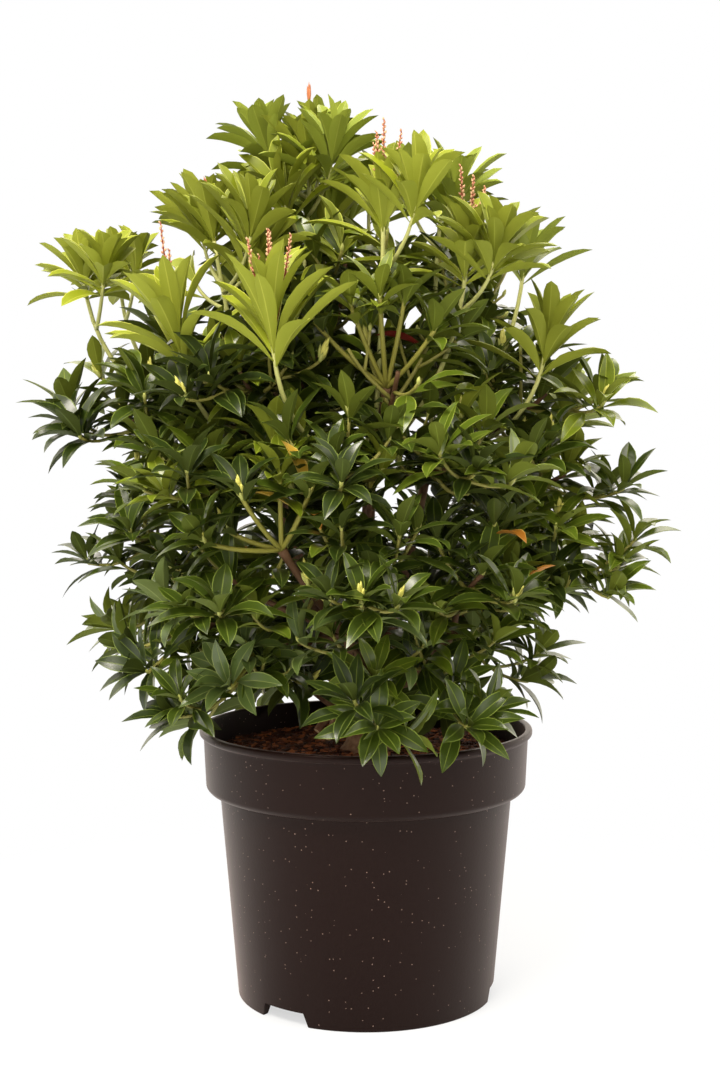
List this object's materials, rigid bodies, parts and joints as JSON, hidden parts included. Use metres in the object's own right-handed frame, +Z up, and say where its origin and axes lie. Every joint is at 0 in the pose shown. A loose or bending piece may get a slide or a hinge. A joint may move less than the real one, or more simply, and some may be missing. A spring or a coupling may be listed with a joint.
{
  "type": "potted japanese andromeda shrub",
  "caption": "Bushy evergreen shrub with whorled leaves, lime young shoots and upright racemes of flower buds, growing in a round black-brown plastic nursery pot.",
  "frame": {"origin": "middle of the pot's underside, on the ground", "axes": "+Z up along the pot's axis, -Y the plant's front as the picture shows it, +X to the right of that front"},
  "size_m": [0.541, 0.5339, 0.7543],
  "materials": {
    "pot_plastic": "satin, black-brown",
    "bark_mulch": "rough, reddish brown",
    "woody_bark": "rough bark",
    "mature_foliage": "glossy dark green leaves",
    "young_foliage": "satin lime green leaves"
  },
  "bodies": {
    "root": {"pot": "pot_plastic", "soil": "bark_mulch", "trunk": "woody_bark", "bough_front": "woody_bark", "bough_front_right": "woody_bark", "bough_right": "woody_bark", "bough_back": "woody_bark", "bough_back_left": "woody_bark", "bough_left": "woody_bark", "bough_upright_front": "woody_bark", "bough_upright_right": "woody_bark", "bough_upright_back": "woody_bark", "bough_upright_left": "woody_bark", "foliage_skirt_1": "mature_foliage", "foliage_skirt_2": "mature_foliage", "foliage_skirt_3": "mature_foliage", "foliage_skirt_4": "mature_foliage", "foliage_skirt_5": "mature_foliage", "foliage_skirt_6": "mature_foliage", "foliage_skirt_7": "mature_foliage", "foliage_waist_1": "mature_foliage", "foliage_waist_2": "mature_foliage", "foliage_waist_3": "mature_foliage", "foliage_waist_4": "mature_foliage", "foliage_waist_5": "mature_foliage", "foliage_waist_6": "mature_foliage", "foliage_waist_7": "mature_foliage", "foliage_shoulder_1": "mature_foliage", "foliage_shoulder_2": "mature_foliage", "foliage_shoulder_3": "mature_foliage", "foliage_shoulder_4": "mature_foliage", "foliage_shoulder_5": "mature_foliage", "foliage_shoulder_6": "mature_foliage", "foliage_shoulder_7": "mature_foliage", "foliage_neck_1": "mature_foliage", "foliage_neck_2": "mature_foliage", "foliage_neck_3": "mature_foliage", "foliage_neck_4": "mature_foliage", "foliage_neck_5": "mature_foliage", "foliage_neck_6": "mature_foliage", "foliage_crest_1": "mature_foliage", "foliage_crest_2": "mature_foliage", "foliage_crest_3": "mature_foliage", "shoot_front": "young_foliage", "shoot_front_left": "young_foliage", "shoot_left": "young_foliage", "shoot_left_back": "young_foliage", "shoot_upper_left": "young_foliage", "shoot_upper_back": "young_foliage", "shoot_upper_front": "young_foliage", "shoot_upper_right": "young_foliage", "shoot_right": "young_foliage", "shoot_right_front": "young_foliage", "shoot_right_low": "young_foliage", "shoot_top": "young_foliage", "shoot_top_right": "young_foliage", "shoot_top_back": "young_foliage", "shoot_back_right": "young_foliage", "shoot_back": "young_foliage", "shoot_back_left": "young_foliage"}
  },
  "joints": []
}
